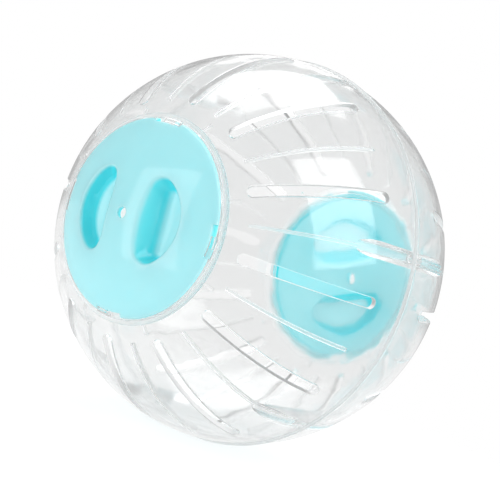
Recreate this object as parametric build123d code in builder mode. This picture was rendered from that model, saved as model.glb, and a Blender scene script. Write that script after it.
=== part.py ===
from build123d import *

import os
from math import asin, cos, degrees, radians, sin, sqrt

# Hamster ball: two clear half shells pinned together round a seam, each with a lid that locks by a turn.
# One moulding serves for both half shells and another for both lids. A moulding is drawn with its pole
# on +Z and its seam in the XY plane, and then laid on its side, so that the finished ball has its two
# lids on the X axis, its seam upright in the YZ plane and its origin at the ball's centre.

# Half shell (millimetres, degrees), with the share of its wall that joined features sink into
ball_radius = 60.0
shell_wall = 1.6
join_share = 0.25
seam_gap = 0.1
bead_width = 1.0
bead_height = 0.6

# Vent slots, in from the mouth's edge and the seam along the surface
slot_count = 12
slot_width = 3.2
slot_mouth_margin = 7.4
slot_seam_margin = 12.5
slot_end_radius = 1.5

# Thin inner ribs, one midway between each two slots
rib_width = 1.0
rib_height = 0.9
rib_mouth_margin = 8.2
rib_seam_margin = 13.6

# Pins and sockets along the seam, on every second rib
boss_radius = 2.5
boss_inset = 2.1
pin_radius = 1.25
pin_length = 5.0
pin_chamfer = 0.4
pin_clearance = 0.2
slots_per_pin = 4

# Lid and the mouth that it sits in
lid_radius = 29.0
lid_wall = 1.8
lid_clearance = 0.25
lid_rim_width = 2.4
lid_rim_depth = 2.1
lid_edge_radius = 0.4
seat_gap = 0.2
lip_reach = 1.6
lip_thickness = 0.8
collar_wall = 1.0
gusset_count = 8
gusset_phase = 26.0
gusset_length = 2.6
gusset_thickness = 0.8
gusset_height = 0.45

# Turn lock: tabs in the mouth that sit over ledges in the lid's edge
tab_count = 4
tab_angle = 12.4
tab_reach = 1.2
tab_thickness = 0.7
lock_turn = 6.0

# Lid's centre hole and finger recesses, which are measured in the plane that touches the pole
axle_hole_radius = 1.65
grip_bar_width = 12.2
recess_length = 27.6
recess_reach = 20.8
recess_end_radius = 4.2
recess_depth = 7.5
recess_wall_inset = 4.2
recess_floor_end_radius = 1.7
recess_floor_fillet = 1.4
recess_wall = 1.6
recess_lip_radius = 0.7

# Worked out from the sizes above
inner_radius = ball_radius - shell_wall
seam_level = seam_gap / 2
bead_level = seam_level + bead_width
mouth_radius = lid_radius + lid_clearance
mouth_polar = degrees(asin(mouth_radius / ball_radius))
collar_radius = mouth_radius + collar_wall
lid_seat_level = sqrt(ball_radius**2 - lid_radius**2) - lid_rim_depth
lip_top = lid_seat_level - seat_gap
lip_bottom = lip_top - lip_thickness
slot_pitch = 360 / slot_count
first_pin = slot_pitch + slot_pitch / 2
pin_pairs = slot_count // slots_per_pin
pin_circle = inner_radius - boss_inset
join_overlap = join_share * shell_wall
tab_pitch = 360 / tab_count
lock_slack = degrees(lid_clearance / lid_radius)
notch_start = -tab_angle / 2 - lock_slack
notch_end = tab_angle / 2 + lock_turn + lock_slack
ledge_end = notch_start + lock_turn


def dome_point(sphere_radius, distance):
    """Profile point on a sphere, at a distance from the pole axis."""
    return (distance, sqrt(sphere_radius**2 - distance**2))


def level_point(sphere_radius, level):
    """Profile point on a sphere, at a level above the seam plane."""
    return (sqrt(sphere_radius**2 - level**2), level)


def polar_point(sphere_radius, polar):
    """Profile point on a sphere, at an angle down from the pole."""
    return (sphere_radius * sin(radians(polar)), sphere_radius * cos(radians(polar)))


def sphere_arc(start, end):
    """Arc about the ball's centre between two profile points on the same sphere."""
    middle = (Vector(start) + Vector(end)).normalized() * Vector(start).length
    return ThreePointArc(start, middle, end)


def lies_on_ball(edge):
    """Whether an edge's middle is on the ball's outside."""
    return abs((edge @ 0.5).length - ball_radius) < lid_clearance


def meridian_band(low_radius, high_radius, mouth_margin, seam_margin):
    """Face between two spheres, from a margin off the mouth to a margin off the seam."""
    top = mouth_polar + degrees(mouth_margin / ball_radius)
    bottom = 90 - degrees(seam_margin / ball_radius)
    with BuildSketch() as band:
        with BuildLine():
            outer = sphere_arc(polar_point(high_radius, top), polar_point(high_radius, bottom))
            inner = sphere_arc(polar_point(low_radius, top), polar_point(low_radius, bottom))
            Line(outer @ 0, inner @ 0)
            Line(outer @ 1, inner @ 1)
        make_face()
    return band.sketch


def ring_sector(near, far, start, end):
    """Face of a flat ring about the pole, from one angle to another."""
    with BuildSketch() as sector:
        with BuildLine():
            inner = CenterArc((0, 0), near, start, end - start)
            outer = CenterArc((0, 0), far, start, end - start)
            Line(inner @ 0, outer @ 0)
            Line(inner @ 1, outer @ 1)
        make_face()
    return sector.sketch


def recess_outline(margin, end_radius):
    """Half-moon beside the grip bar: a straight inner edge, round ends and one outer arc."""
    near = grip_bar_width / 2 + margin
    far = recess_reach - margin
    straight = recess_length / 2 - margin - end_radius
    depth = far - near - end_radius
    arc_radius = (straight**2 + depth**2 - end_radius**2) / (2 * (depth - end_radius))
    centre = Vector(0, far - arc_radius)
    touch = centre + (Vector(straight, near + end_radius) - centre).normalized() * arc_radius
    with BuildSketch() as outline:
        with BuildLine():
            edge = Line((-straight, near), (straight, near))
            right = TangentArc(edge @ 1, touch, tangent=(1, 0))
            left = TangentArc(edge @ 0, (-touch.X, touch.Y), tangent=(-1, 0))
            ThreePointArc(right @ 1, (0, far), left @ 1)
        make_face()
    return outline.sketch


# Vent slot cutter: a band of the wall's meridian with round ends
with BuildPart() as slot_cutter:
    with BuildSketch(Plane.XZ):
        add(meridian_band(inner_radius - shell_wall, ball_radius + shell_wall,
                          slot_mouth_margin, slot_seam_margin))
    extrude(amount=slot_width / 2, both=True)
    radial_edges = slot_cutter.edges().filter_by(GeomType.LINE).filter_by(Axis.Y, reverse=True)
    fillet(radial_edges, radius=slot_end_radius)

# Inner rib, its back sunk a little into the wall
with BuildPart() as rib:
    with BuildSketch(Plane.XZ):
        add(meridian_band(inner_radius - rib_height, inner_radius + join_overlap,
                          rib_mouth_margin, rib_seam_margin))
    extrude(amount=rib_width / 2, both=True)

# Seam boss: a round bar square to the seam that runs out into the dome
with BuildPart() as boss:
    boss_run = sqrt((inner_radius + join_overlap)**2 - (pin_circle - boss_radius)**2) - seam_level
    with Locations((pin_circle, 0, seam_level)):
        Cylinder(boss_radius, boss_run, align=(Align.CENTER, Align.CENTER, Align.MIN))
    Sphere(inner_radius + join_overlap, mode=Mode.INTERSECT)

# Seam pin, rooted in its boss
with BuildPart() as pin:
    with Locations((pin_circle, 0, seam_level + pin_length)):
        Cylinder(pin_radius, 2 * pin_length, align=(Align.CENTER, Align.CENTER, Align.MAX))
    chamfer(pin.faces().sort_by(Axis.Z)[0].edges(), length=pin_chamfer)

# Gusset from the mouth's collar along the dome's inside
with BuildPart() as gusset:
    gusset_near = collar_radius - join_overlap
    gusset_far = collar_radius + gusset_length
    with BuildSketch(Plane.XZ):
        with BuildLine():
            Polyline(
                dome_point(inner_radius - gusset_height, gusset_near),
                dome_point(inner_radius + join_overlap, gusset_near),
                dome_point(inner_radius + join_overlap, gusset_far),
                dome_point(inner_radius - gusset_height, gusset_far),
                close=True,
            )
        make_face()
    extrude(amount=gusset_thickness / 2, both=True)

# Lock tab, flush with the ball's outside
with BuildPart() as tab:
    with BuildSketch(Plane.XY):
        add(ring_sector(mouth_radius - tab_reach, mouth_radius + shell_wall, -tab_angle / 2, tab_angle / 2))
    extrude(amount=ball_radius)
    Sphere(ball_radius, mode=Mode.INTERSECT)
    Sphere(ball_radius - tab_thickness, mode=Mode.SUBTRACT)

# Half shell moulding
with BuildPart() as half_moulding:
    with BuildSketch(Plane.XZ):
        with BuildLine():
            outside = sphere_arc(dome_point(ball_radius, mouth_radius), level_point(ball_radius, bead_level))
            bead = TangentArc((ball_radius + bead_height, seam_level), outside @ 1, tangent=(0, 1))
            inside = sphere_arc(level_point(inner_radius, seam_level), dome_point(inner_radius, collar_radius))
            Line(bead @ 0, inside @ 0)
            Polyline(
                inside @ 1,
                (collar_radius, lip_bottom),
                (mouth_radius - lip_reach, lip_bottom),
                (mouth_radius - lip_reach, lip_top),
                (mouth_radius, lip_top),
                outside @ 0,
            )
        make_face()
    revolve(axis=Axis.Z)
    with PolarLocations(0, slot_count):
        add(slot_cutter.part, mode=Mode.SUBTRACT)
    with PolarLocations(0, slot_count, start_angle=slot_pitch / 2):
        add(rib.part)
    with PolarLocations(0, 2 * pin_pairs, start_angle=first_pin):
        add(boss.part)
    with PolarLocations(0, pin_pairs, start_angle=first_pin):
        add(pin.part)
    with Locations((0, 0, seam_level)):
        with PolarLocations(pin_circle, pin_pairs, start_angle=first_pin + 2 * slot_pitch):
            Cylinder(
                pin_radius + pin_clearance,
                pin_length + pin_clearance,
                align=(Align.CENTER, Align.CENTER, Align.MIN),
                mode=Mode.SUBTRACT,
            )
    with PolarLocations(0, gusset_count, start_angle=gusset_phase):
        add(gusset.part)
    with PolarLocations(0, tab_count):
        add(tab.part)

# Lock notch in the lid's edge: open right through, but for the ledge that the tab sits over
with BuildPart() as notch_cutter:
    notch_floor = lid_radius - tab_reach
    with BuildSketch(Plane.XY):
        add(ring_sector(notch_floor, mouth_radius, notch_start, notch_end))
    extrude(amount=ball_radius)
    Sphere(ball_radius - tab_thickness - lid_clearance, mode=Mode.SUBTRACT)
    with BuildSketch(Plane.XY):
        add(ring_sector(notch_floor, mouth_radius, ledge_end, notch_end))
    extrude(amount=ball_radius)

# Finger recess: wide at the dome, narrow at its rounded floor
with BuildPart() as recess:
    with BuildSketch(Plane.XY.offset(ball_radius)):
        add(recess_outline(0, recess_end_radius))
    with BuildSketch(Plane.XY.offset(ball_radius - recess_depth)):
        add(recess_outline(recess_wall_inset, recess_floor_end_radius))
    loft()
    fillet(recess.faces().sort_by(Axis.Z)[0].edges(), radius=recess_floor_fillet)

# Pocket that carries the recess on the inside of the lid
with BuildPart() as pocket:
    with BuildSketch(Plane.XY.offset(ball_radius)):
        add(recess_outline(-recess_wall, recess_end_radius + recess_wall))
    with BuildSketch(Plane.XY.offset(ball_radius - recess_depth - recess_wall)):
        add(recess_outline(recess_wall_inset - recess_wall, recess_floor_end_radius + recess_wall))
    loft()
    fillet(pocket.faces().sort_by(Axis.Z)[0].edges(), radius=recess_floor_fillet)
    Sphere(ball_radius - lid_wall / 2, mode=Mode.INTERSECT)

# Lid moulding, drawn as it stands when locked
with BuildPart() as lid_moulding:
    with BuildSketch(Plane.XZ):
        with BuildLine():
            rim_inside = lid_radius - lid_rim_width
            outside = sphere_arc((0, ball_radius), dome_point(ball_radius, lid_radius))
            inside = sphere_arc((0, ball_radius - lid_wall), dome_point(ball_radius - lid_wall, rim_inside))
            Line(outside @ 0, inside @ 0)
            Polyline(
                inside @ 1,
                (rim_inside, lid_seat_level),
                (lid_radius, lid_seat_level),
                outside @ 1,
            )
        make_face()
    revolve(axis=Axis.Z)
    rim_edges = lid_moulding.edges().filter_by(lambda edge: edge.is_closed).sort_by(Axis.Z)
    fillet(rim_edges[-1], radius=lid_edge_radius)
    with PolarLocations(0, 2, start_angle=lock_turn):
        add(pocket.part)
    with PolarLocations(0, 2, start_angle=lock_turn):
        add(recess.part, mode=Mode.SUBTRACT)
    recess_lips = lid_moulding.edges(Select.LAST).filter_by(lies_on_ball)
    fillet(recess_lips, radius=recess_lip_radius)
    with PolarLocations(0, tab_count):
        add(notch_cutter.part, mode=Mode.SUBTRACT)
    with Locations((0, 0, ball_radius)):
        Hole(axle_hole_radius, depth=recess_depth)


def pole_plane(side, turn):
    """Plane that lays a moulding's pole along X, with its own X axis turned from +Z towards +Y."""
    return Plane(origin=(0, 0, 0), x_dir=(0, sin(radians(turn)), cos(radians(turn))), z_dir=(side, 0, 0))


# The four pieces in place, the right half a slot pitch round and its lid one lock tab further
with BuildPart(pole_plane(-1, 0)) as left_half_shell:
    add(half_moulding.part)

with BuildPart(pole_plane(1, slot_pitch)) as right_half_shell:
    add(half_moulding.part)

with BuildPart(pole_plane(-1, 0)) as left_lid:
    add(lid_moulding.part)

with BuildPart(pole_plane(1, slot_pitch + tab_pitch)) as right_lid:
    add(lid_moulding.part)

os.makedirs("parts", exist_ok=True)
left_half_shell.part.label = "left_half_shell"
right_half_shell.part.label = "right_half_shell"
left_lid.part.label = "left_lid"
right_lid.part.label = "right_lid"
export_step(left_half_shell.part, "parts/left_half_shell.step")
export_step(right_half_shell.part, "parts/right_half_shell.step")
export_step(left_lid.part, "parts/left_lid.step")
export_step(right_lid.part, "parts/right_lid.step")
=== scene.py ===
"""Looks of a clear hamster ball with two blue turn-lock lids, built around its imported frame."""

from math import acos, asin, atan2, copysign, cos, hypot, pi, radians, sin, sqrt, tau
from types import SimpleNamespace

import bmesh
import bpy
from bpy.props import FloatProperty, FloatVectorProperty, IntProperty, PointerProperty
from mathutils import Matrix, Quaternion, Vector
from mathutils.geometry import intersect_line_sphere


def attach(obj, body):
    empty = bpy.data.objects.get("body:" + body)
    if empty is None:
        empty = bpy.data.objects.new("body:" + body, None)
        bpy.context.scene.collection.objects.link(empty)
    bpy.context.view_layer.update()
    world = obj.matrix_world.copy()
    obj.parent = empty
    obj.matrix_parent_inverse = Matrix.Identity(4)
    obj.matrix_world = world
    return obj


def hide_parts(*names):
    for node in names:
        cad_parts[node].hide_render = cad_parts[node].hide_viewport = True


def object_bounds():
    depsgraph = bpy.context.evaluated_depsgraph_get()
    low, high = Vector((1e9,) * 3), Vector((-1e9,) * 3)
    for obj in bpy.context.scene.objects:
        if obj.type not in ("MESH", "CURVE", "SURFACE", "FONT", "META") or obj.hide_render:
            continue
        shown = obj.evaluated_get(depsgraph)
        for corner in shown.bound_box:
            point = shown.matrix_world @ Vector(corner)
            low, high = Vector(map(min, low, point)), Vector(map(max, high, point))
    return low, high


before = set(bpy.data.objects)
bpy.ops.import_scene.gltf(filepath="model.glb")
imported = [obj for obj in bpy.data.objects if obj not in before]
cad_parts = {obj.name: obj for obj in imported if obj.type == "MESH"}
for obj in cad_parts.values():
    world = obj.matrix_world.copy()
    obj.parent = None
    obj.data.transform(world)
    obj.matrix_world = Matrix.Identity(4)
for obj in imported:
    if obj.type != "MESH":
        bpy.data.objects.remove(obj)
CAD_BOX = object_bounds()

bl_info = {
    "name": "Hamster Ball",
    "version": (1, 0, 0),
    "blender": (4, 5, 0),
    "location": "View3D > Sidebar > Hamster Ball",
    "description": "Builds a clear hamster ball with turn-lock lids around its packed frame",
    "category": "Object",
}

MM = 0.001
BEAD_HEIGHT = 0.6 * MM
MERGE_DISTANCE = 0.001 * MM

# How finely the round shapes are divided
SLOT_END_POINTS = 18
MERIDIAN_STEPS = 28
CORNER_CUTS = 2
TAB_CUTS = 4
PANEL_CUTS = 4
BEAD_STEPS = 4
BOSS_STEPS = 32
RECESS_SIDE_STEPS = 24
RECESS_END_STEPS = 10
RECESS_ARC_STEPS = 48
HOLE_STEPS = 12
LID_PANEL_CUTS = 6
RECESS_WALL_CUTS = 3
NOTCH_STEPS = 8
FLOOR_STEPS = 96

# Steps across small roundings
FINE_ROUND_STEPS = 2
LID_EDGE_STEPS = 3
RECESS_ROUND_STEPS = 4

# How the grip bar's shoulder is smoothed
SHOULDER_PASSES = 24
SHOULDER_FACTOR = 0.5

# Shares of a rib's width that its sides lean in, and of the wall that a fin is sunk into
RIB_DRAFT = 0.05
FIN_SINK = 0.25

# Pitches of the slots between the first slot and the first boss
FIRST_BOSS_PITCHES = 1.5

# What counts as a sharp edge, and as a face of a dome
SHARP_ANGLE = radians(50)
CREASE_ANGLE = radians(38)
DOME_TOLERANCE = 0.02 * MM
DOME_AIM = cos(radians(35))

# How much both plastics bend light
PLASTIC_IOR = 1.5

# Middle range of a noise, which its patterns use
NOISE_RANGE = (0.3, 0.7)

# Scale and detail of the clear plastic's patterns
SHELL_CLOUDS = (18, 2)
SHELL_SCUFFS = (420, 3)
SHELL_RIPPLE = (140, 1)

# Darkest share of the tint, roughness of the domes, and height of the ripple inside
CLOUD_SHADE = 0.985
SHELL_POLISH = (0.05, 0.085)
SHELL_RIPPLE_HEIGHT = 0.09 * MM

# Share of the ripple that the outside has
OUTER_RIPPLE = 0.2

# Roughness that edges and inner bars have over that of the domes, and where these start and end
DULLNESS = 0.35
EDGE_FACING = (0.3, 0.7)
BAR_DEPTHS = (0.6 * MM, 0.2 * MM)

# Light let through on the seam and off it, and the distances where frosting fades out
FROSTING = (0.3, 1)
FROSTING_FADE = (0.1 * MM, 0.25 * MM)

# Reflections inside the clear wall after which light goes straight on
MOST_REFLECTIONS = 2.5

# Scale and detail of the blue plastic's patterns
LID_MOTTLE = (60, 3)
LID_SCUFFS = (500, 4)
LID_RIPPLE = (55, 1)
LID_GRAIN = (2500, 2)

# Darkest share of the colour, roughness, and heights of the ripple and the grain
MOTTLE_SHADE = 0.965
LID_POLISH = (0.05, 0.1)
LID_RIPPLE_HEIGHT = 0.03 * MM
LID_GRAIN_HEIGHT = 0.0004 * MM

# Share of the light that sinks into the lid, how far red, green and blue spread, and their scale
SINK_SHARE = 0.8
SINK_SPREAD = (0.7, 1.0, 1.05)
SINK_DEPTH = 7 * MM

# Where the lid's recess walls are steep and sunk enough for their painted shade, a darker, deeper cyan
SHADE_WALL_FACING = (0.6, 0.92)
SHADE_WALL_DEPTHS = (1.2 * MM, 0.2 * MM)

# Heights from straight down to straight up, and the grey that reflections see there
ROOM_LEVELS = (
    (0.0, 0.4), (0.04, 0.4), (0.1, 1.0), (0.3, 1.0), (0.44, 0.85), (0.46, 0.5), (0.8, 0.4), (1.0, 0.5),
)

# Where the backdrop's light starts towards +X, and where it is full
BACKDROP_SPREAD = (0.1, 0.8)

# Colours of the background and the floor
WHITE = (1, 1, 1, 1)
FLOOR_COLOUR = (0.9, 0.9, 0.9, 1)

# Shift that the photograph's framing needs
CAMERA_SHIFT = (0.001, -0.0018)

# Name, place, turn in degrees, width, height, share of the light, and whether clear plastic shows it
SOFTBOXES = (
    ("side_softbox", (-1.641, 0.7, 0.041), (86.9, -8.9, -87.3), 1.315, 1.605, 0.65, False),
    ("top_softbox", (0.306, 0.822, 1.908), (19.4, 0.5, 159.4), 1.884, 1.281, 0.75, True),
    ("front_softbox", (0.066, -1.313, 1.125), (66.9, -17.3, -12.0), 1.305, 1.861, 1.0, True),
)


def size_in_mm(name, description, default):
    """Setting that holds a length, with its default given in millimetres."""
    return FloatProperty(name=name, description=description, default=default * MM, unit="LENGTH")


def turn_in_degrees(name, description, default):
    """Setting that holds an angle, with its default given in degrees."""
    return FloatProperty(name=name, description=description, default=radians(default), subtype="ANGLE")


class HalfShellSizes(bpy.types.PropertyGroup):
    """Sizes of the clear half shells."""

    ball_radius: FloatProperty(
        name="Ball radius", description="Outside of the shell, without its seam bead",
        default=CAD_BOX[1].z - BEAD_HEIGHT, unit="LENGTH")
    wall: size_in_mm("Wall", "Thickness of the clear wall", 1.6)
    seam_gap: size_in_mm("Seam gap", "Gap between the two halves", 0.1)
    bead_width: size_in_mm("Bead width", "Width of each half's seam bead", 1.0)
    bead_height: FloatProperty(
        name="Bead height", description="How far the bead stands proud",
        default=BEAD_HEIGHT, unit="LENGTH")
    edge_round: size_in_mm("Edge round", "Rounding of slot and mouth edges", 0.22)
    slot_count: IntProperty(name="Slots", description="Vent slots in each half", default=12, min=4)
    slot_width: size_in_mm("Slot width", "Width of a vent slot", 3.2)
    slot_mouth_margin: size_in_mm("Slot to mouth", "Wall between a slot and the mouth", 7.4)
    slot_seam_margin: size_in_mm("Slot to seam", "Wall between a slot and the seam", 12.5)
    rib_width: size_in_mm("Rib width", "Width of an inner rib", 1.0)
    rib_height: size_in_mm("Rib height", "Height of an inner rib", 0.9)
    rib_mouth_margin: size_in_mm("Rib to mouth", "Wall between a rib and the mouth", 8.2)
    rib_seam_margin: size_in_mm("Rib to seam", "Wall between a rib and the seam", 13.6)
    boss_radius: size_in_mm("Boss radius", "Radius of a seam boss", 2.5)
    boss_inset: size_in_mm("Boss inset", "Boss axis in from the wall", 2.1)
    pin_radius: size_in_mm("Pin radius", "Radius of a seam pin", 1.25)
    pin_length: size_in_mm("Pin length", "How far a pin reaches past the seam", 5.0)
    pin_chamfer: size_in_mm("Pin chamfer", "Chamfer at a pin's tip", 0.4)
    pin_clearance: size_in_mm("Pin clearance", "Gap round a pin in its socket", 0.2)
    lip_reach: size_in_mm("Lip reach", "How far the seat lip reaches in", 1.6)
    lip_thickness: size_in_mm("Lip thickness", "Thickness of the seat lip", 0.8)
    collar_wall: size_in_mm("Collar wall", "Wall of the mouth's collar", 1.0)
    gusset_count: IntProperty(
        name="Gussets", description="Fins behind the mouth's collar", default=8, min=1)
    gusset_phase: turn_in_degrees("First gusset", "Angle of the first fin", 26)
    gusset_length: size_in_mm("Gusset length", "How far a fin runs out", 2.6)
    gusset_thickness: size_in_mm("Gusset thickness", "Thickness of a fin", 0.8)
    gusset_height: size_in_mm("Gusset height", "Height of a fin", 0.45)
    tab_count: IntProperty(name="Tabs", description="Lock tabs in the mouth", default=4, min=2)
    tab_angle: turn_in_degrees("Tab width", "Angle that a tab spans", 12.4)
    tab_reach: size_in_mm("Tab reach", "How far a tab reaches in", 1.2)
    tab_thickness: size_in_mm("Tab thickness", "Thickness of a tab", 0.7)


class LidSizes(bpy.types.PropertyGroup):
    """Sizes of the blue lids."""

    radius: size_in_mm("Radius", "Radius of the lid's edge", 29.0)
    wall: size_in_mm("Wall", "Thickness of the lid's dome", 1.8)
    clearance: size_in_mm("Clearance", "Gap round the lid in its mouth", 0.25)
    rim_width: size_in_mm("Rim width", "Width of the rim under the edge", 2.4)
    rim_depth: size_in_mm("Rim depth", "Depth of the rim under the edge", 2.1)
    edge_round: size_in_mm("Edge round", "Rounding of the lid's edge", 0.4)
    seat_gap: size_in_mm("Seat gap", "Gap between the rim and its seat", 0.2)
    lock_turn: turn_in_degrees("Lock turn", "Turn that unlocks the lid", 6)
    hole_radius: size_in_mm("Hole radius", "Radius of the centre hole", 1.65)
    bar_width: size_in_mm("Grip bar", "Bar between the finger recesses", 12.2)
    recess_length: size_in_mm("Recess length", "Length of a finger recess", 27.6)
    recess_reach: size_in_mm("Recess reach", "Recess's far edge from the centre", 20.8)
    recess_end_radius: size_in_mm("Recess ends", "Radius of a recess's ends", 4.2)
    recess_depth: size_in_mm("Recess depth", "Depth below the lid's pole", 7.5)
    recess_inset: size_in_mm("Recess slope", "How far the walls lean in", 4.2)
    recess_floor_radius: size_in_mm("Floor ends", "Radius of the floor's ends", 1.7)
    recess_floor_round: size_in_mm("Floor round", "Rounding round the floor", 1.3)
    recess_lip_round: size_in_mm("Lip round", "Rounding of the recess's edge", 0.7)
    recess_wall: size_in_mm("Recess wall", "Wall of the pocket behind", 1.6)
    shoulder: size_in_mm("Bar shoulder", "Reach of the soft edge of the grip bar", 2.6)


class BallColours(bpy.types.PropertyGroup):
    """Colours of the two plastics."""

    shell: FloatVectorProperty(
        name="Shell tint", description="What the clear plastic lets through", subtype="COLOR",
        default=(0.905, 0.91, 0.91), min=0, max=1)
    lid: FloatVectorProperty(
        name="Lid", description="Colour of the blue plastic", subtype="COLOR",
        default=(0.41, 0.735, 0.79), min=0, max=1)
    # Painted shade: a darker, deeper cyan laid on the steep walls of the finger recesses, where shade
    # falls
    lid_wall_shade: FloatVectorProperty(
        name="Lid walls", description="Colour of the blue plastic on its steep walls", subtype="COLOR",
        default=(0.12, 0.7, 0.785), min=0, max=1)


class StageSettings(bpy.types.PropertyGroup):
    """The camera's place and the studio round the ball."""

    camera_distance: FloatProperty(
        name="Camera distance", description="From the ball's centre", default=0.4815, unit="LENGTH")
    camera_azimuth: turn_in_degrees("Camera azimuth", "Round the ball, 0 looks along +Y", -51.6)
    camera_elevation: turn_in_degrees("Camera elevation", "Above the horizon", 3.17)
    camera_roll: turn_in_degrees("Camera roll", "Turn about the view's axis", 20.07)
    lens: FloatProperty(
        name="Lens", description="Focal length in millimetres", default=111.96)
    floor_radius: FloatProperty(
        name="Floor radius", description="Where the floor has faded out", default=0.24, unit="LENGTH")
    floor_fade: FloatProperty(
        name="Floor fade", description="Where the floor starts to fade", default=0.09, unit="LENGTH")
    softbox_radiance: FloatProperty(
        name="Softbox brightness", description="Brightness of the softboxes' faces", default=2.8)
    room_light: FloatProperty(
        name="Room light", description="Light from the room all round", default=0.45)
    backdrop_light: FloatProperty(
        name="Backdrop light", description="Light that comes through the right lid from behind",
        default=1.75)


def globe_point(radius, polar, azimuth):
    """Point on a sphere about the ball's centre, by its angle down from the pole and round it."""
    across = radius * sin(polar)
    return Vector((across * cos(azimuth), across * sin(azimuth), radius * cos(polar)))


def ring_point(point, radius, level):
    """The point on a ring about the pole axis that faces the same way as this one."""
    across = Vector((point.x, point.y, 0)).normalized() * radius
    return across + Vector((0, 0, level))


def polar_of(point):
    """Angle of a point down from the pole."""
    return acos(point.z / point.length)


def of_kind(items, kind):
    """The verts, edges or faces among an operator's results."""
    return [item for item in items if isinstance(item, kind)]


def verts_of(edges):
    """The verts at the ends of edges, each once."""
    return {vert for edge in edges for vert in edge.verts}


def open_edges(bm, test):
    """Edges with one face whose ends both pass a test."""
    return [edge for edge in bm.edges if edge.is_boundary and all(test(vert.co) for vert in edge.verts)]


def closed_outline(bm, corners, cuts):
    """Closed loop of edges through a few corners, with its own number of cuts on each side."""
    known = set(bm.edges)
    verts = [bm.verts.new(corner) for corner in corners]
    sides = [bm.edges.new(pair) for pair in zip(verts, verts[1:] + verts[:1])]
    for side, count in zip(sides, cuts):
        bmesh.ops.subdivide_edges(bm, edges=[side], cuts=count)
    return [edge for edge in bm.edges if edge not in known]


def lathe_on(bm, edges, stations):
    """Extrudes a round loop of edges through rings, by radius and level, and returns the last."""
    for radius, level in stations:
        made = bmesh.ops.extrude_edge_only(bm, edges=edges)["geom"]
        verts = set(of_kind(made, bmesh.types.BMVert))
        for vert in verts:
            vert.co = ring_point(vert.co, radius, level)
        edges = [edge for edge in of_kind(made, bmesh.types.BMEdge) if verts.issuperset(edge.verts)]
    return edges


def repeat_round(bm, count):
    """Copies a shape evenly round the pole, and merges what meets."""
    everything = bm.verts[:] + bm.edges[:] + bm.faces[:]
    bmesh.ops.spin(
        bm, geom=everything, cent=(0, 0, 0), axis=(0, 0, 1), dvec=(0, 0, 0),
        angle=tau * (count - 1) / count, steps=count - 1, use_duplicate=True)
    bmesh.ops.remove_doubles(bm, verts=bm.verts[:], dist=MERGE_DISTANCE)


def round_edges(bm, edges, width, segments):
    """Rounds edges to a small radius."""
    bmesh.ops.bevel(
        bm, geom=edges, offset=width, offset_type="OFFSET", segments=segments, profile=0.5,
        affect="EDGES", clamp_overlap=True, material=-1)


def sharp_edges(bm, test):
    """Edges between faces that meet at a sharp angle, whose ends both pass a test."""
    return [
        edge for edge in bm.edges
        if len(edge.link_faces) == 2 and edge.calc_face_angle() > SHARP_ANGLE
        and all(test(vert.co) for vert in edge.verts)
    ]


def mesh_object(name, bm):
    """New object that holds a bmesh's shape."""
    mesh = bpy.data.meshes.new(name)
    bm.to_mesh(mesh)
    bm.free()
    obj = bpy.data.objects.new(name, mesh)
    bpy.context.scene.collection.objects.link(obj)
    return obj


def carved(bm, tools):
    """The shape after each tool has been joined to it or cut from it."""
    base = mesh_object("moulding", bm)
    helpers = [base]
    for tool, operation in tools:
        bmesh.ops.recalc_face_normals(tool, faces=tool.faces[:])
        helper = mesh_object("tool", tool)
        helpers.append(helper)
        modifier = base.modifiers.new(operation, "BOOLEAN")
        modifier.operation = operation
        modifier.solver = "EXACT"
        modifier.object = helper
    result = bmesh.new()
    result.from_object(base, bpy.context.evaluated_depsgraph_get())
    for helper in helpers:
        mesh = helper.data
        bpy.data.objects.remove(helper)
        bpy.data.meshes.remove(mesh)
    bmesh.ops.remove_doubles(result, verts=result.verts[:], dist=MERGE_DISTANCE)
    bmesh.ops.dissolve_degenerate(result, edges=result.edges[:], dist=MERGE_DISTANCE)
    return result


def set_dome_normals(mesh, radii):
    """Gives faces on the ball's spheres their exact normals, so that they reflect without ripples."""
    normals = []
    for polygon in mesh.polygons:
        for index in polygon.loop_indices:
            point = mesh.vertices[mesh.loops[index].vertex_index].co
            outward = point.normalized()
            aim = outward.dot(polygon.normal)
            on_dome = any(abs(point.length - radius) < DOME_TOLERANCE for radius in radii)
            normals.append(outward * copysign(1, aim) if on_dome and abs(aim) > DOME_AIM else Vector())
    mesh.normals_split_custom_set(normals)


def pole_matrix(side, turn):
    """Lays a moulding's pole along X, with its own X axis turned from +Z towards +Y."""
    pole = Vector((side, 0, 0))
    start = Vector((0, sin(turn), cos(turn)))
    return Matrix((start, pole.cross(start), pole)).transposed().to_4x4()


def place_piece(name, moulding, matrix, radii, material, body):
    """A copy of a moulding in its place on the ball, riding its body in place of the CAD node."""
    bm = moulding.copy()
    bmesh.ops.transform(bm, matrix=matrix, verts=bm.verts[:])
    for face in bm.faces:
        face.smooth = True
    for edge in bm.edges:
        edge.smooth = len(edge.link_faces) == 2 and edge.calc_face_angle(0) < CREASE_ANGLE
    piece = mesh_object(name, bm)
    set_dome_normals(piece.data, radii)
    piece.data.materials.append(material)
    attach(piece, body)
    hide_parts(name)


def mouth_of(shell, lid):
    """Radii and levels of the round mouth that a lid sits in."""
    radius = lid.radius + lid.clearance
    seat = sqrt(shell.ball_radius**2 - lid.radius**2) - lid.rim_depth
    lip_top = seat - lid.seat_gap
    return SimpleNamespace(
        radius=radius,
        polar=asin(radius / shell.ball_radius),
        lid_seat=seat,
        lip_radius=radius - shell.lip_reach,
        lip_top=lip_top,
        lip_bottom=lip_top - shell.lip_thickness,
        collar_radius=radius + shell.collar_wall,
        tab_radius=radius - shell.tab_reach,
        tab_level=sqrt((shell.ball_radius - shell.tab_thickness) ** 2 - radius**2),
    )


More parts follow.
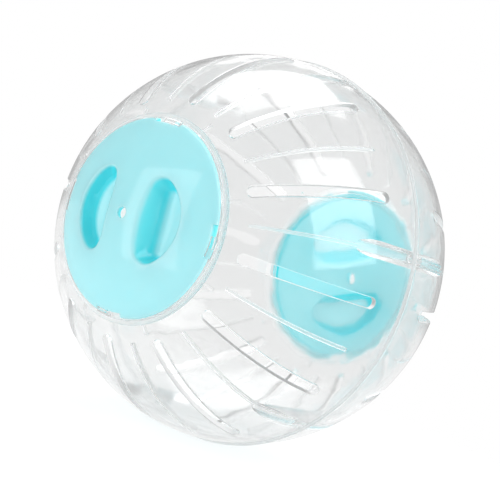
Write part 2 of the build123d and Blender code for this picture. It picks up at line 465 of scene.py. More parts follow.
def slot_outline(bm, shell, top, bottom):
    """Long loop with round ends on the ball, between two angles from the pole."""
    ball_radius = shell.ball_radius
    half_width = shell.slot_width / 2
    half_length = (bottom - top) / 2 * ball_radius
    half_step = pi / (2 * SLOT_END_POINTS)
    verts = bmesh.ops.create_circle(
        bm, segments=2 * SLOT_END_POINTS, radius=half_width / cos(half_step))["verts"]
    bmesh.ops.rotate(bm, verts=verts, matrix=Matrix.Rotation(half_step, 3, "Z"))
    for end in (-1, 1):
        half = [vert for vert in verts if vert.co.y * end > 0]
        bmesh.ops.translate(bm, verts=half, vec=(0, end * (half_length - half_width), 0))
    sides = [edge for edge in bm.edges if edge.verts[0].co.y * edge.verts[1].co.y < 0]
    bmesh.ops.subdivide_edges(bm, edges=sides, cuts=MERIDIAN_STEPS - 1)
    for vert in bm.verts:
        across, along = vert.co.x, vert.co.y
        polar = (top + bottom) / 2 - along / ball_radius
        reach = sqrt(ball_radius**2 - across**2)
        vert.co = (reach * sin(polar), across, reach * cos(polar))
    return bm.edges[:]


def sector_outline(bm, shell, mouth_polar, rib_top, rib_bottom, bead_polar):
    """Loop round one slot's share of the ball, from the mouth to the seam and from rib to rib."""
    side = pi / shell.slot_count
    tab = shell.tab_angle / 2
    across = (side, tab, -tab, -side)
    upper = [(side, rib_top)] + [(turn, mouth_polar) for turn in across] + [(-side, rib_top)]
    lower = [(-side, rib_bottom)] + [(turn, bead_polar) for turn in across[::-1]] + [(side, rib_bottom)]
    corners = [(*corner, 0) for corner in upper + lower]
    end_cuts = [CORNER_CUTS, CORNER_CUTS, TAB_CUTS, CORNER_CUTS, CORNER_CUTS]
    edges = closed_outline(bm, corners, 2 * (end_cuts + [MERIDIAN_STEPS - 1]))
    for vert in verts_of(edges):
        vert.co = globe_point(shell.ball_radius, vert.co.y, vert.co.x)
    return edges


def wall_sector(shell, mouth):
    """One slot's share of the wall, outside and inside, with the slot through it."""
    ball_radius = shell.ball_radius
    inner_radius = ball_radius - shell.wall
    seam_level = shell.seam_gap / 2
    slot_top = mouth.polar + shell.slot_mouth_margin / ball_radius
    slot_bottom = pi / 2 - shell.slot_seam_margin / ball_radius
    rib_top = mouth.polar + shell.rib_mouth_margin / ball_radius
    rib_bottom = pi / 2 - shell.rib_seam_margin / ball_radius
    bead_polar = acos((seam_level + shell.bead_width) / ball_radius)
    seam_polar = acos(seam_level / inner_radius)
    collar_polar = asin(mouth.collar_radius / inner_radius)

    bm = bmesh.new()
    slot_edges = slot_outline(bm, shell, slot_top, slot_bottom)
    border_edges = sector_outline(bm, shell, mouth.polar, rib_top, rib_bottom, bead_polar)
    panel = set(bmesh.ops.bridge_loops(bm, edges=slot_edges + border_edges)["faces"])
    bmesh.ops.inset_region(
        bm, faces=list(panel), thickness=shell.rib_width / 2, use_boundary=True, use_even_offset=True)
    rungs = [edge for edge in bm.edges if len(edge.link_faces) == 2 and panel.issuperset(edge.link_faces)]
    bmesh.ops.subdivide_edges(bm, edges=rungs, cuts=PANEL_CUTS, use_grid_fill=True)
    for vert in bm.verts:
        vert.co = vert.co.normalized() * ball_radius

    def inner_polar(polar):
        """Angle on the inner wall, whose mouth stops at the collar and whose foot reaches the seam."""
        if polar < slot_top:
            share = (polar - mouth.polar) / (slot_top - mouth.polar)
            return collar_polar + share * (slot_top - collar_polar)
        if polar > slot_bottom:
            share = (polar - slot_bottom) / (bead_polar - slot_bottom)
            return slot_bottom + share * (seam_polar - slot_bottom)
        return polar

    copied = bmesh.ops.duplicate(bm, geom=bm.verts[:] + bm.edges[:] + bm.faces[:])["geom"]
    bmesh.ops.reverse_faces(bm, faces=of_kind(copied, bmesh.types.BMFace))
    for vert in of_kind(copied, bmesh.types.BMVert):
        vert.co = globe_point(inner_radius, inner_polar(polar_of(vert.co)), atan2(vert.co.y, vert.co.x))
    slack = MERGE_DISTANCE / ball_radius
    rims = open_edges(
        bm, lambda point: abs(point.y) < shell.slot_width
        and slot_top - slack < polar_of(point) < slot_bottom + slack)
    bmesh.ops.bridge_loops(bm, edges=rims)
    round_edges(bm, rims, shell.edge_round, FINE_ROUND_STEPS)
    return bm


def close_seam(bm, shell):
    """Bead and flat face along the seam."""
    ball_radius = shell.ball_radius
    level = shell.seam_gap / 2
    mid_radius = ball_radius - shell.wall / 2
    foot_reach = sqrt(ball_radius**2 - (level + shell.bead_width) ** 2)
    drop = ball_radius + shell.bead_height - foot_reach
    bead_radius = (shell.bead_width**2 + drop**2) / (2 * drop)
    bead_turn = asin(shell.bead_width / bead_radius)
    turns = [bead_turn * step / BEAD_STEPS for step in reversed(range(BEAD_STEPS))]
    stations = [
        (ball_radius + shell.bead_height - bead_radius * (1 - cos(turn)), level + bead_radius * sin(turn))
        for turn in turns
    ]
    near_seam = 2 * shell.bead_width
    outer = open_edges(bm, lambda point: point.z < near_seam and point.length > mid_radius)
    inner = open_edges(bm, lambda point: point.z < near_seam and point.length < mid_radius)
    last = lathe_on(bm, outer, stations)
    bmesh.ops.bridge_loops(bm, edges=last + inner)


def close_mouth(bm, shell, mouth):
    """Mouth wall, seat lip and collar."""
    mid_radius = shell.ball_radius - shell.wall / 2
    outer = open_edges(bm, lambda point: point.length > mid_radius)
    inner = open_edges(bm, lambda point: point.length < mid_radius)
    stations = [
        (mouth.radius, mouth.tab_level),
        (mouth.radius, mouth.lip_top),
        (mouth.lip_radius, mouth.lip_top),
        (mouth.lip_radius, mouth.lip_bottom),
        (mouth.collar_radius, mouth.lip_bottom),
    ]
    last = lathe_on(bm, outer, stations)
    bmesh.ops.bridge_loops(bm, edges=last + inner)


def raise_tabs(bm, shell, mouth):
    """Lock tabs drawn in from the mouth wall, flush with the ball's outside."""
    pitch = tau / shell.tab_count

    def in_tab(face):
        """Whether a face of the mouth wall lies where a tab starts."""
        middle = face.calc_center_median()
        turn = (atan2(middle.y, middle.x) + pitch / 2) % pitch - pitch / 2
        on_wall = abs(hypot(middle.x, middle.y) - mouth.radius) < shell.seam_gap
        return on_wall and middle.z > mouth.tab_level and abs(turn) < shell.tab_angle / 2

    faces = [face for face in bm.faces if in_tab(face)]
    made = bmesh.ops.extrude_face_region(bm, geom=faces)["geom"]
    for vert in of_kind(made, bmesh.types.BMVert):
        level = sqrt(vert.co.length_squared - mouth.tab_radius**2)
        vert.co = ring_point(vert.co, mouth.tab_radius, level)
    bmesh.ops.delete(bm, geom=faces, context="FACES")


def raise_ribs(bm, shell, mouth):
    """Thin ribs on the inner wall, one midway between each two slots."""
    ball_radius = shell.ball_radius
    inner_radius = ball_radius - shell.wall
    pitch = tau / shell.slot_count
    rib_top = mouth.polar + shell.rib_mouth_margin / ball_radius
    rib_bottom = pi / 2 - shell.rib_seam_margin / ball_radius

    def in_rib(face):
        """Whether a face of the inner wall lies under a rib."""
        middle = face.calc_center_median()
        turn = atan2(middle.y, middle.x) % pitch - pitch / 2
        across = hypot(middle.x, middle.y) * sin(abs(turn))
        inside = abs(middle.length - inner_radius) < shell.seam_gap
        return inside and across < shell.rib_width / 2 and rib_top < polar_of(middle) < rib_bottom

    faces = [face for face in bm.faces if in_rib(face)]
    bmesh.ops.inset_region(
        bm, faces=faces, thickness=RIB_DRAFT * shell.rib_width, depth=shell.rib_height,
        use_boundary=True, use_even_offset=True)


def first_boss(shell):
    """Angle of the first boss, which is on the second rib."""
    return FIRST_BOSS_PITCHES * tau / shell.slot_count


def seam_bosses(shell):
    """Round bars square to the seam that run out into the dome, on every second rib."""
    seam_level = shell.seam_gap / 2
    pin_circle = shell.ball_radius - shell.wall - shell.boss_inset
    root_radius = shell.ball_radius - shell.wall / 2
    bm = bmesh.new()
    bmesh.ops.create_cone(
        bm, cap_ends=True, cap_tris=True, segments=BOSS_STEPS, radius1=shell.boss_radius,
        radius2=shell.boss_radius, depth=shell.boss_radius)
    for vert in bm.verts:
        reach = sqrt(root_radius**2 - (vert.co.x + pin_circle) ** 2 - vert.co.y**2)
        vert.co = (vert.co.x + pin_circle, vert.co.y, reach if vert.co.z > 0 else seam_level)
    bmesh.ops.rotate(bm, verts=bm.verts[:], matrix=Matrix.Rotation(first_boss(shell), 3, "Z"))
    repeat_round(bm, shell.slot_count // 2)
    return bm


def seam_bars(shell, radius, low, high, turn):
    """Round bars along the seam bosses' axes, on every second boss."""
    pin_circle = shell.ball_radius - shell.wall - shell.boss_inset
    bm = bmesh.new()
    bmesh.ops.create_cone(
        bm, cap_ends=True, segments=BOSS_STEPS, radius1=radius, radius2=radius, depth=high - low)
    bmesh.ops.translate(bm, verts=bm.verts[:], vec=(pin_circle, 0, (low + high) / 2))
    tip = [edge for edge in bm.edges if all(vert.co.z < low + shell.pin_chamfer for vert in edge.verts)]
    round_edges(bm, tip, shell.pin_chamfer, 1)
    bmesh.ops.rotate(bm, verts=bm.verts[:], matrix=Matrix.Rotation(turn, 3, "Z"))
    repeat_round(bm, shell.slot_count // 4)
    return bm


def mouth_gussets(shell, mouth):
    """Small fins from the mouth's collar along the dome's inside."""
    sunk = FIN_SINK * shell.wall
    inner_radius = shell.ball_radius - shell.wall
    low, high = inner_radius - shell.gusset_height, inner_radius + sunk
    near = mouth.collar_radius - sunk
    far = mouth.collar_radius + shell.gusset_length
    bm = bmesh.new()
    spots = [(low, near), (high, near), (high, far), (low, far)]
    corners = [(reach, sqrt(radius**2 - reach**2)) for radius, reach in spots]
    half = shell.gusset_thickness / 2
    face = bm.faces.new([bm.verts.new((reach, -half, level)) for reach, level in corners])
    made = bmesh.ops.extrude_face_region(bm, geom=[face])["geom"]
    bmesh.ops.translate(bm, verts=of_kind(made, bmesh.types.BMVert), vec=(0, 2 * half, 0))
    bmesh.ops.rotate(bm, verts=bm.verts[:], matrix=Matrix.Rotation(shell.gusset_phase, 3, "Z"))
    repeat_round(bm, shell.gusset_count)
    return bm


def half_moulding(shell, lid):
    """Half shell with its pole on +Z and its seam in the XY plane."""
    mouth = mouth_of(shell, lid)
    bm = wall_sector(shell, mouth)
    repeat_round(bm, shell.slot_count)
    close_seam(bm, shell)
    close_mouth(bm, shell, mouth)
    raise_tabs(bm, shell, mouth)
    bmesh.ops.recalc_face_normals(bm, faces=bm.faces[:])
    raise_ribs(bm, shell, mouth)
    at_mouth = sharp_edges(bm, lambda point: point.z > mouth.lip_bottom - MM)
    round_edges(bm, at_mouth, shell.edge_round, FINE_ROUND_STEPS)

    seam_level = shell.seam_gap / 2
    first = first_boss(shell)
    second = first + 2 * tau / shell.slot_count
    root = seam_level + shell.boss_radius
    socket_radius = shell.pin_radius + shell.pin_clearance
    socket_end = seam_level + shell.pin_length + shell.pin_clearance
    tools = [
        (seam_bosses(shell), "UNION"),
        (mouth_gussets(shell, mouth), "UNION"),
        (seam_bars(shell, shell.pin_radius, seam_level - shell.pin_length, root, first), "UNION"),
        (seam_bars(shell, socket_radius, -seam_level - MM, socket_end, second), "DIFFERENCE"),
    ]
    return carved(bm, tools)


def recess_ring(bm, lid, margin, end_radius, level):
    """Half-moon loop beside the grip bar: a straight side, round ends and one outer arc."""
    near = lid.bar_width / 2 + margin
    far = lid.recess_reach - margin
    straight = lid.recess_length / 2 - margin - end_radius
    depth = far - near - end_radius
    arc_radius = (straight**2 + depth**2 - end_radius**2) / (2 * (depth - end_radius))
    end_lean = atan2(near + end_radius - far + arc_radius, straight)
    known = set(bm.edges)
    first = last = bm.verts.new((straight, near, level))
    arcs = [
        ((straight, near + end_radius, level), end_lean + pi / 2, RECESS_END_STEPS),
        ((0, far - arc_radius, level), pi - 2 * end_lean, RECESS_ARC_STEPS),
        ((-straight, near + end_radius, level), end_lean + pi / 2, RECESS_END_STEPS),
    ]
    for centre, angle, steps in arcs:
        turned = bmesh.ops.spin(bm, geom=[last], cent=centre, axis=(0, 0, 1), angle=angle, steps=steps)
        last = of_kind(turned["geom_last"], bmesh.types.BMVert)[0]
    side = bm.edges.new((last, first))
    bmesh.ops.subdivide_edges(bm, edges=[side], cuts=RECESS_SIDE_STEPS - 1)
    return [edge for edge in bm.edges if edge not in known]


def half_turn(bm, start, angle, steps):
    """Arc of edges about the pole from a point on the X axis, and its first and last verts."""
    first = bm.verts.new((start, 0, 0))
    turned = bmesh.ops.spin(bm, geom=[first], cent=(0, 0, 0), axis=(0, 0, 1), angle=angle, steps=steps)
    return first, of_kind(turned["geom_last"], bmesh.types.BMVert)[0]


def half_disc_ring(bm, lid, dome_radius, rim_radius):
    """Loop round half of the lid's dome: its rim, and a middle line that goes round the centre hole."""
    known = set(bm.edges)
    rim_steps = RECESS_ARC_STEPS + 2 * RECESS_END_STEPS - HOLE_STEPS
    line_steps = RECESS_SIDE_STEPS // 2
    rim_start, rim_end = half_turn(bm, rim_radius, pi, rim_steps)
    hole_start, hole_end = half_turn(bm, -lid.hole_radius, -pi, HOLE_STEPS)
    lines = [bm.edges.new((rim_end, hole_start)), bm.edges.new((hole_end, rim_start))]
    bmesh.ops.subdivide_edges(bm, edges=lines, cuts=line_steps - 1)
    edges = [edge for edge in bm.edges if edge not in known]
    for vert in verts_of(edges):
        vert.co.z = sqrt(dome_radius**2 - vert.co.x**2 - vert.co.y**2)
    return edges


def soften_bar(bm, lid):
    """Soft shoulder where the grip bar falls away into its recess."""
    reach = lid.recess_length / 2 - lid.recess_end_radius
    shoulder = [
        vert for vert in bm.verts
        if abs(vert.co.y - lid.bar_width / 2) < lid.shoulder and abs(vert.co.x) < reach
    ]
    for _ in range(SHOULDER_PASSES):
        bmesh.ops.smooth_vert(
            bm, verts=shoulder, factor=SHOULDER_FACTOR, use_axis_x=True, use_axis_y=True, use_axis_z=True)


def lid_sheet(shell, lid, dome_radius, rim_radius, grown):
    """One face of the lid's dome with its two finger recesses, grown outwards for the face behind."""
    floor_level = shell.ball_radius - lid.recess_depth - grown
    bm = bmesh.new()
    top = recess_ring(bm, lid, -grown, lid.recess_end_radius + grown, shell.ball_radius)
    floor = recess_ring(bm, lid, lid.recess_inset - grown, lid.recess_floor_radius + grown, floor_level)
    wall = bmesh.ops.bridge_loops(bm, edges=top + floor)
    for rung in of_kind(wall["edges"], bmesh.types.BMEdge):
        low, high = sorted(rung.verts, key=lambda vert: vert.co.z)
        if high.co.z - low.co.z > lid.recess_depth / 2:
            high.co = intersect_line_sphere(low.co, high.co, Vector(), dome_radius, False)[0]
    bmesh.ops.subdivide_edges(bm, edges=wall["edges"], cuts=RECESS_WALL_CUTS, use_grid_fill=True)
    border = half_disc_ring(bm, lid, dome_radius, rim_radius)
    dome = set(bmesh.ops.bridge_loops(bm, edges=top + border)["faces"])
    rungs = [edge for edge in bm.edges if len(edge.link_faces) == 2 and dome.issuperset(edge.link_faces)]
    cut = bmesh.ops.subdivide_edges(bm, edges=rungs, cuts=LID_PANEL_CUTS, use_grid_fill=True)
    for vert in of_kind(cut["geom_inner"], bmesh.types.BMVert):
        vert.co = vert.co.normalized() * dome_radius
    bmesh.ops.edgeloop_fill(bm, edges=floor)
    round_edges(bm, floor, lid.recess_floor_round, RECESS_ROUND_STEPS)
    round_edges(bm, top, lid.recess_lip_round, RECESS_ROUND_STEPS)
    soften_bar(bm, lid)
    repeat_round(bm, 2)
    return bm


def notch_cutter(shell, lid, floor, bottom_radius, start, end):
    """Ring sector that cuts the lid's edge down to a sphere, or right through for no sphere."""
    reach = lid.radius + lid.clearance
    top = shell.ball_radius
    depth = shell.ball_radius / 2
    low_near = sqrt(bottom_radius**2 - floor**2) if bottom_radius else depth
    low_far = sqrt(bottom_radius**2 - reach**2) if bottom_radius else depth
    bm = bmesh.new()
    corners = [(floor, low_near), (reach, low_far), (reach, top), (floor, top)]
    face = bm.faces.new([bm.verts.new((distance, 0, level)) for distance, level in corners])
    bmesh.ops.rotate(bm, verts=bm.verts[:], matrix=Matrix.Rotation(start, 3, "Z"))
    bmesh.ops.spin(
        bm, geom=[face], cent=(0, 0, 0), axis=(0, 0, 1), angle=end - start, steps=NOTCH_STEPS)
    repeat_round(bm, shell.tab_count)
    return bm


def lid_moulding(shell, lid):
    """Lid with its pole on +Z, as it stands when locked."""
    mouth = mouth_of(shell, lid)
    inner_radius = shell.ball_radius - lid.wall
    rim_inside = lid.radius - lid.rim_width
    bm = lid_sheet(shell, lid, shell.ball_radius, lid.radius, 0)
    under = lid_sheet(shell, lid, inner_radius, rim_inside, lid.recess_wall)
    under_mesh = bpy.data.meshes.new("under")
    under.to_mesh(under_mesh)
    under.free()
    bm.from_mesh(under_mesh)
    bpy.data.meshes.remove(under_mesh)

    mid_radius = shell.ball_radius - lid.wall / 2
    near_hole = 2 * lid.hole_radius
    hole = open_edges(bm, lambda point: point.xy.length < near_hole)
    rim = open_edges(bm, lambda point: point.length > mid_radius and point.xy.length > near_hole)
    under_rim = open_edges(bm, lambda point: point.length < mid_radius and point.xy.length > near_hole)
    last = lathe_on(bm, rim, [(lid.radius, mouth.lid_seat), (rim_inside, mouth.lid_seat)])
    bmesh.ops.bridge_loops(bm, edges=last + under_rim)
    bmesh.ops.bridge_loops(bm, edges=hole)
    bmesh.ops.recalc_face_normals(bm, faces=bm.faces[:])
    at_edge = sharp_edges(bm, lambda point: point.xy.length > rim_inside - MERGE_DISTANCE)
    round_edges(bm, at_edge, lid.edge_round, LID_EDGE_STEPS)
    at_hole = sharp_edges(bm, lambda point: point.xy.length < near_hole)
    round_edges(bm, at_hole, lid.edge_round / 2, FINE_ROUND_STEPS)
    bmesh.ops.rotate(bm, verts=bm.verts[:], matrix=Matrix.Rotation(lid.lock_turn, 3, "Z"))

    slack = lid.clearance / lid.radius
    start = -shell.tab_angle / 2 - slack
    end = shell.tab_angle / 2 + lid.lock_turn + slack
    floor = lid.radius - shell.tab_reach
    ledge_radius = shell.ball_radius - shell.tab_thickness - lid.clearance
    tools = [
        (notch_cutter(shell, lid, floor, ledge_radius, start, end), "DIFFERENCE"),
        (notch_cutter(shell, lid, floor, 0, start + lid.lock_turn, end), "DIFFERENCE"),
    ]
    return carved(bm, tools)


def plain_material(name):
    """New material with its shader and output nodes."""
    material = bpy.data.materials.new(name)
    material.use_nodes = True
    tree = material.node_tree
    return material, tree, tree.nodes["Principled BSDF"], tree.nodes["Material Output"]


def fill_sockets(tree, node, values):
    """Links inputs of a node to outputs, or sets them to plain values."""
    for key, value in values.items():
        if isinstance(value, bpy.types.NodeSocket):
            tree.links.new(value, node.inputs[key])
        else:
            node.inputs[key].default_value = value


def add_node(tree, kind, values, **settings):
    """New node of a kind, with its settings made and its inputs filled."""
    node = tree.nodes.new(kind)
    for name, setting in settings.items():
        setattr(node, name, setting)
    fill_sockets(tree, node, values)
    return node


def own_place(tree):
    """A point's place in the piece's own coordinates."""
    return tree.nodes.new("ShaderNodeTexCoord").outputs["Object"]


def add_noise(tree, scale, detail):
    """Noise on the piece's own coordinates."""
    values = {"Vector": own_place(tree), "Scale": scale, "Detail": detail}
    return add_node(tree, "ShaderNodeTexNoise", values).outputs["Fac"]


def add_math(tree, operation, *values):
    """Result of a sum on outputs and numbers."""
    node = add_node(tree, "ShaderNodeMath", dict(enumerate(values)), operation=operation)
    return node.outputs["Value"]


def centre_distance(tree):
    """Distance of a point from the ball's centre."""
    node = add_node(tree, "ShaderNodeVectorMath", {0: own_place(tree)}, operation="LENGTH")
    return node.outputs["Value"]


def seam_distance(tree):
    """Distance of a point from the seam plane."""
    parts = add_node(tree, "ShaderNodeSeparateXYZ", {"Vector": own_place(tree)})
    return add_math(tree, "ABSOLUTE", parts.outputs["X"])


def outward_facing(tree):
    """How squarely a face looks away from the ball's centre, or towards it, from 0 to 1."""
    outward = add_node(tree, "ShaderNodeVectorMath", {0: own_place(tree)}, operation="NORMALIZE")
    normal = tree.nodes.new("ShaderNodeTexCoord").outputs["Normal"]
    pair = {0: outward.outputs["Vector"], 1: normal}
    facing = add_node(tree, "ShaderNodeVectorMath", pair, operation="DOT_PRODUCT")
    return add_math(tree, "ABSOLUTE", facing.outputs["Value"])


def below(radius, depths):
    """Distances from the centre that lie some depths under a radius."""
    return [radius - depth for depth in depths]


def spread(tree, value, low, high, start, end):
    """A value's range from start to end spread between two others."""
    values = {"Value": value, "From Min": start, "From Max": end, "To Min": low, "To Max": high}
    return add_node(tree, "ShaderNodeMapRange", values).outputs["Result"]


def mix_colours(tree, share, first, second):
    """A colour that goes over from one to another by a share."""
    values = {"Factor": share, "A": first, "B": second}
    return add_node(tree, "ShaderNodeMix", values, data_type="RGBA").outputs["Result"]


def mix_shaders(tree, share, first, second, output):
    """Surface that goes over from one shader to another by a share."""
    mix = add_node(tree, "ShaderNodeMixShader", {"Fac": share, 1: first, 2: second})
    tree.links.new(mix.outputs["Shader"], output.inputs["Surface"])


def vary_colour(tree, noise, colour, least):
    """A colour that sinks to a share of itself where a noise is low."""
    shade = (*[part * least for part in colour], 1)
    return mix_colours(tree, spread(tree, noise, 0, 1, *NOISE_RANGE), shade, (*colour, 1))


def add_bump(tree, height, distance, before=None):
    """Relief of a height in metres, over any relief before it."""
    values = {"Height": height, "Distance": distance}
    if before is not None:
        values["Normal"] = before
    return add_node(tree, "ShaderNodeBump", values).outputs["Normal"]


def clear_plastic(colour, outer_radius, inner_radius):
    """Clear plastic: polished domes rippled inside, dull edges and bars, and a frosted seam."""
    material, tree, shader, output = plain_material("clear_plastic")
    clouds = add_noise(tree, *SHELL_CLOUDS)
    polish = spread(tree, add_noise(tree, *SHELL_SCUFFS), *SHELL_POLISH, *NOISE_RANGE)
    edges = spread(tree, outward_facing(tree), DULLNESS, 0, *EDGE_FACING)
    bars = spread(tree, centre_distance(tree), DULLNESS, 0, *below(inner_radius, BAR_DEPTHS))
    dull = add_math(tree, "MAXIMUM", edges, bars)
    inside = spread(tree, centre_distance(tree), 1, OUTER_RIPPLE, inner_radius, outer_radius)
    ripple = add_math(tree, "MULTIPLY", add_noise(tree, *SHELL_RIPPLE), inside)
    fill_sockets(tree, shader, {
        "Base Color": vary_colour(tree, clouds, colour, CLOUD_SHADE),
        "Roughness": add_math(tree, "ADD", polish, dull),
        "IOR": PLASTIC_IOR,
        "Transmission Weight": spread(tree, seam_distance(tree), *FROSTING, *FROSTING_FADE),
        "Normal": add_bump(tree, ripple, SHELL_RIPPLE_HEIGHT),
    })

    path = tree.nodes.new("ShaderNodeLightPath")
    light_ray = add_math(tree, "MAXIMUM", path.outputs["Is Shadow Ray"], path.outputs["Is Diffuse Ray"])
    trapped = add_math(tree, "GREATER_THAN", path.outputs["Glossy Depth"], MOST_REFLECTIONS)
    straight_on = add_math(tree, "MAXIMUM", light_ray, trapped)
    tint = (*[sqrt(part) for part in colour], 1)
    passing = add_node(tree, "ShaderNodeBsdfTransparent", {"Color": tint})
    mix_shaders(tree, straight_on, shader.outputs["BSDF"], passing.outputs["BSDF"], output)
    return material


def blue_plastic(colours, dome_radius):
    """Glossy pale blue plastic that light sinks into, with painted shade in a deeper colour on the steep
    recess walls.
    """
    material, tree, shader, _ = plain_material("blue_plastic")
    # Painted shade: mask of the steep, sunk recess walls, which take the darker wall colour
    steep = spread(tree, outward_facing(tree), 1, 0, *SHADE_WALL_FACING)
    sunk = spread(tree, centre_distance(tree), 1, 0, *below(dome_radius, SHADE_WALL_DEPTHS))
    recess_shade = add_math(tree, "MULTIPLY", steep, sunk)
    mottled = vary_colour(tree, add_noise(tree, *LID_MOTTLE), colours.lid, MOTTLE_SHADE)
    ripple = add_bump(tree, add_noise(tree, *LID_RIPPLE), LID_RIPPLE_HEIGHT)
    fill_sockets(tree, shader, {
        # Base colour: random mottle, with the painted shade mixed in on the recess walls
        "Base Color": mix_colours(tree, recess_shade, mottled, (*colours.lid_wall_shade, 1)),
        "Roughness": spread(tree, add_noise(tree, *LID_SCUFFS), *LID_POLISH, *NOISE_RANGE),
        "IOR": PLASTIC_IOR,
        "Subsurface Weight": SINK_SHARE,
        "Subsurface Radius": SINK_SPREAD,
        "Subsurface Scale": SINK_DEPTH,
        "Normal": add_bump(tree, add_noise(tree, *LID_GRAIN), LID_GRAIN_HEIGHT, ripple),
    })
    return material


def floor_material(stage):
    """Pale matt floor that fades out into the white round it."""
    material, tree, shader, output = plain_material("pale_floor")
    tree.nodes.remove(shader)
    fade = spread(tree, centre_distance(tree), 0, 1, stage.floor_fade, stage.floor_radius)
    matt = add_node(tree, "ShaderNodeBsdfDiffuse", {"Color": FLOOR_COLOUR})
    clear = tree.nodes.new("ShaderNodeBsdfTransparent")
    mix_shaders(tree, fade, matt.outputs["BSDF"], clear.outputs["BSDF"], output)
    return material


def studio_world(stage):
    """White for sight and clear plastic, soft light, and a room with a table for reflections."""
    world = bpy.data.worlds.new("studio")
    world.use_nodes = True
    tree = world.node_tree
    place = tree.nodes.new("ShaderNodeTexCoord").outputs["Generated"]
    parts = add_node(tree, "ShaderNodeSeparateXYZ", {"Vector": place})
    height = spread(tree, parts.outputs["Z"], 0, 1, -1, 1)
    room = add_node(tree, "ShaderNodeValToRGB", {"Fac": height})
    ramp = room.color_ramp.elements
    while len(ramp) < len(ROOM_LEVELS):
        ramp.new(1)
    for element, (position, grey) in zip(ramp, ROOM_LEVELS):
        element.position = position
        element.color = (grey, grey, grey, 1)
    path = tree.nodes.new("ShaderNodeLightPath")
    seen = add_math(tree, "MAXIMUM", path.outputs["Is Camera Ray"], path.outputs["Is Transmission Ray"])
    light = spread(tree, parts.outputs["X"], stage.room_light, stage.backdrop_light, *BACKDROP_SPREAD)
    reflected = mix_colours(tree, path.outputs["Is Glossy Ray"], light, room.outputs["Color"])
    shown = mix_colours(tree, seen, reflected, WHITE)
    tree.links.new(shown, tree.nodes["Background"].inputs["Color"])
    return world


def add_softbox(name, place, turn, width, height, radiance, shows_through):
    """Flat area lamp at a place, turned by angles in degrees, whose face has a radiance."""
    lamp = bpy.data.lights.new(name, "AREA")
    lamp.shape = "RECTANGLE"
    lamp.size = width
    lamp.size_y = height
    lamp.energy = radiance * pi * width * height
    softbox = bpy.data.objects.new(name, lamp)
    softbox.location = place
    softbox.rotation_euler = [radians(angle) for angle in turn]
    softbox.visible_transmission = shows_through
    bpy.context.scene.collection.objects.link(softbox)


class HAMSTERBALL_OT_half_shells(bpy.types.Operator):
    """Build the two clear half shells"""

    bl_idname = "hamster_ball.half_shells"
    bl_label = "Half Shells"

    def execute(self, context):
        ball = context.scene.hamster_ball
        shell = ball.shell
        moulding = half_moulding(shell, ball.lid)
        radii = (shell.ball_radius, shell.ball_radius - shell.wall)
        material = clear_plastic(ball.colours.shell, *radii)
        for name, side, turn, body in (
            ("left_half_shell", -1, 0, "left_half"),
            ("right_half_shell", 1, tau / shell.slot_count, "right_half"),
        ):
            place_piece(name, moulding, pole_matrix(side, turn), radii, material, body)
        moulding.free()
        return {"FINISHED"}


class HAMSTERBALL_OT_lids(bpy.types.Operator):
    """Build the two blue lids"""

    bl_idname = "hamster_ball.lids"
    bl_label = "Lids"

    def execute(self, context):
        ball = context.scene.hamster_ball
        shell = ball.shell
        moulding = lid_moulding(shell, ball.lid)
        material = blue_plastic(ball.colours, shell.ball_radius)
        radii = (shell.ball_radius, shell.ball_radius - ball.lid.wall)
        right_turn = tau / shell.slot_count + tau / shell.tab_count
        for name, side, turn in (("left_lid", -1, 0), ("right_lid", 1, right_turn)):
            place_piece(name, moulding, pole_matrix(side, turn), radii, material, name)
        moulding.free()
        return {"FINISHED"}


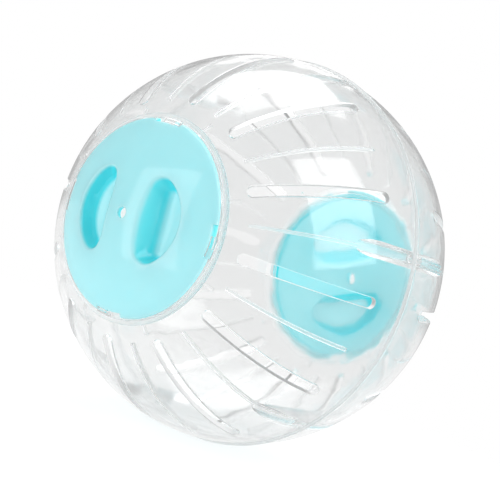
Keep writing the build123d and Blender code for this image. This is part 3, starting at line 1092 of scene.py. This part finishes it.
class HAMSTERBALL_OT_stage(bpy.types.Operator):
    """Build the floor, the studio light and the camera"""

    bl_idname = "hamster_ball.stage"
    bl_label = "Stage"

    def execute(self, context):
        scene = context.scene
        stage = scene.hamster_ball.stage
        scene.view_settings.view_transform = "Standard"
        scene.world = studio_world(stage)

        bm = bmesh.new()
        bmesh.ops.create_circle(bm, cap_ends=True, segments=FLOOR_STEPS, radius=stage.floor_radius)
        bmesh.ops.translate(bm, verts=bm.verts[:], vec=(0, 0, CAD_BOX[0].z))
        floor = mesh_object("floor", bm)
        floor.data.materials.append(floor_material(stage))
        floor.visible_glossy = False

        for name, place, turn, width, height, share, shows_through in SOFTBOXES:
            radiance = share * stage.softbox_radiance
            add_softbox(name, place, turn, width, height, radiance, shows_through)

        camera = bpy.data.objects.new("camera", bpy.data.cameras.new("camera"))
        across = cos(stage.camera_elevation)
        away = Vector((
            sin(stage.camera_azimuth) * across,
            -cos(stage.camera_azimuth) * across,
            sin(stage.camera_elevation),
        ))
        camera.location = away * stage.camera_distance
        roll = Quaternion((0, 0, 1), stage.camera_roll)
        camera.rotation_euler = (away.to_track_quat("Z", "Y") @ roll).to_euler()
        camera.data.lens = stage.lens
        camera.data.shift_x, camera.data.shift_y = CAMERA_SHIFT
        scene.collection.objects.link(camera)
        scene.camera = camera
        return {"FINISHED"}


class HamsterBall(bpy.types.PropertyGroup):
    """All that a user may change."""

    shell: PointerProperty(
        type=HalfShellSizes, name="Half shells", description="Sizes of the half shells")
    lid: PointerProperty(type=LidSizes, name="Lids", description="Sizes of the lids")
    colours: PointerProperty(type=BallColours, name="Colours", description="Colours of the plastics")
    stage: PointerProperty(type=StageSettings, name="Stage", description="Camera and studio")


class HAMSTERBALL_PT_panel(bpy.types.Panel):
    """Sidebar panel with the ball's sizes and its build steps"""

    bl_label = "Hamster Ball"
    bl_space_type = "VIEW_3D"
    bl_region_type = "UI"
    bl_category = "Hamster Ball"

    def draw(self, context):
        ball = context.scene.hamster_ball
        for title, group, operator in (
            ("Half shells", ball.shell, HAMSTERBALL_OT_half_shells),
            ("Lids", ball.lid, HAMSTERBALL_OT_lids),
            ("Colours", ball.colours, None),
            ("Stage", ball.stage, HAMSTERBALL_OT_stage),
        ):
            box = self.layout.box()
            box.label(text=title)
            for name in group.__annotations__:
                box.prop(group, name)
            if operator is not None:
                box.operator(operator.bl_idname)


CLASSES = (
    HalfShellSizes,
    LidSizes,
    BallColours,
    StageSettings,
    HamsterBall,
    HAMSTERBALL_OT_half_shells,
    HAMSTERBALL_OT_lids,
    HAMSTERBALL_OT_stage,
    HAMSTERBALL_PT_panel,
)


def register():
    """Adds the classes, and the ball's settings to every scene."""
    for cls in CLASSES:
        bpy.utils.register_class(cls)
    bpy.types.Scene.hamster_ball = PointerProperty(type=HamsterBall)


def unregister():
    """Takes the settings and the classes away again."""
    del bpy.types.Scene.hamster_ball
    for cls in reversed(CLASSES):
        bpy.utils.unregister_class(cls)


def main():
    """Builds the ball and its stage."""
    register()
    bpy.ops.hamster_ball.half_shells()
    bpy.ops.hamster_ball.lids()
    bpy.ops.hamster_ball.stage()


if __name__ == "__main__":
    main()
